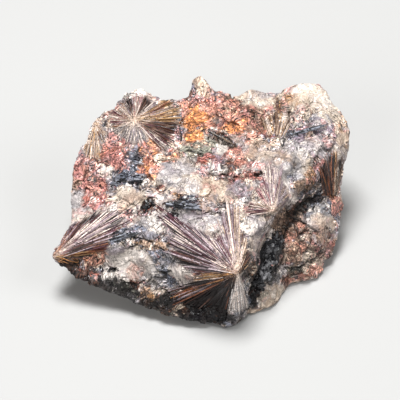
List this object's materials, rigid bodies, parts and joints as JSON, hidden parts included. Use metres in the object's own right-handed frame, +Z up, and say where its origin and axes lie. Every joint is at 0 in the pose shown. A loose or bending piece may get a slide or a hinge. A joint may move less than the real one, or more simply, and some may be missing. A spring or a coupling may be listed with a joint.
{
  "type": "lamprophyllite specimen",
  "caption": "Broken rock hand specimen with radiating brown and lilac lamprophyllite sprays, dark aegirine crystals and pink-red eudialyte grains.",
  "frame": {"origin": "centre of the bounding box in X and Y, on the flat broken underside", "axes": "+X along the specimen's length with the pointed corner at -X, +Y to the back, +Z up from the resting face; the display side faces -Y and +Z"},
  "size_m": [0.0746, 0.0575, 0.0321],
  "materials": {
    "matrix": "broken coarse-grained syenite, white to beige, with pink-red, grey and green-grey grains",
    "front_corner_spray": "bronze-brown to lilac-grey radiating crystal blades with a silky to submetallic lustre",
    "left_tip_spray": "bronze-brown to lilac-grey radiating crystal blades with a silky to submetallic lustre",
    "upper_left_star": "bronze-brown to lilac-grey radiating crystal blades with a silky to submetallic lustre",
    "left_edge_spray": "bronze-brown to lilac-grey radiating crystal blades with a silky to submetallic lustre",
    "right_spray": "bronze-brown to lilac-grey radiating crystal blades with a silky to submetallic lustre",
    "right_edge_spray": "bronze-brown to lilac-grey radiating crystal blades with a silky to submetallic lustre",
    "back_rim_spray": "bronze-brown to lilac-grey radiating crystal blades with a silky to submetallic lustre",
    "aegirine_blade_upper": "near-black crystal with a vitreous lustre",
    "aegirine_blade_right": "near-black crystal with a vitreous lustre",
    "aegirine_ledge_left": "near-black crystal with a vitreous lustre",
    "aegirine_ledge_middle": "near-black crystal with a vitreous lustre",
    "aegirine_clump": "near-black crystal with a vitreous lustre",
    "aegirine_band": "near-black crystal with a vitreous lustre",
    "aegirine_seam": "near-black crystal with a vitreous lustre"
  },
  "bodies": {
    "root": {"matrix": "matrix", "front_corner_spray": "front_corner_spray", "left_tip_spray": "left_tip_spray", "upper_left_star": "upper_left_star", "left_edge_spray": "left_edge_spray", "right_spray": "right_spray", "right_edge_spray": "right_edge_spray", "back_rim_spray": "back_rim_spray", "aegirine_blade_upper": "aegirine_blade_upper", "aegirine_blade_right": "aegirine_blade_right", "aegirine_ledge_left": "aegirine_ledge_left", "aegirine_ledge_middle": "aegirine_ledge_middle", "aegirine_clump": "aegirine_clump", "aegirine_band": "aegirine_band", "aegirine_seam": "aegirine_seam"}
  },
  "joints": []
}
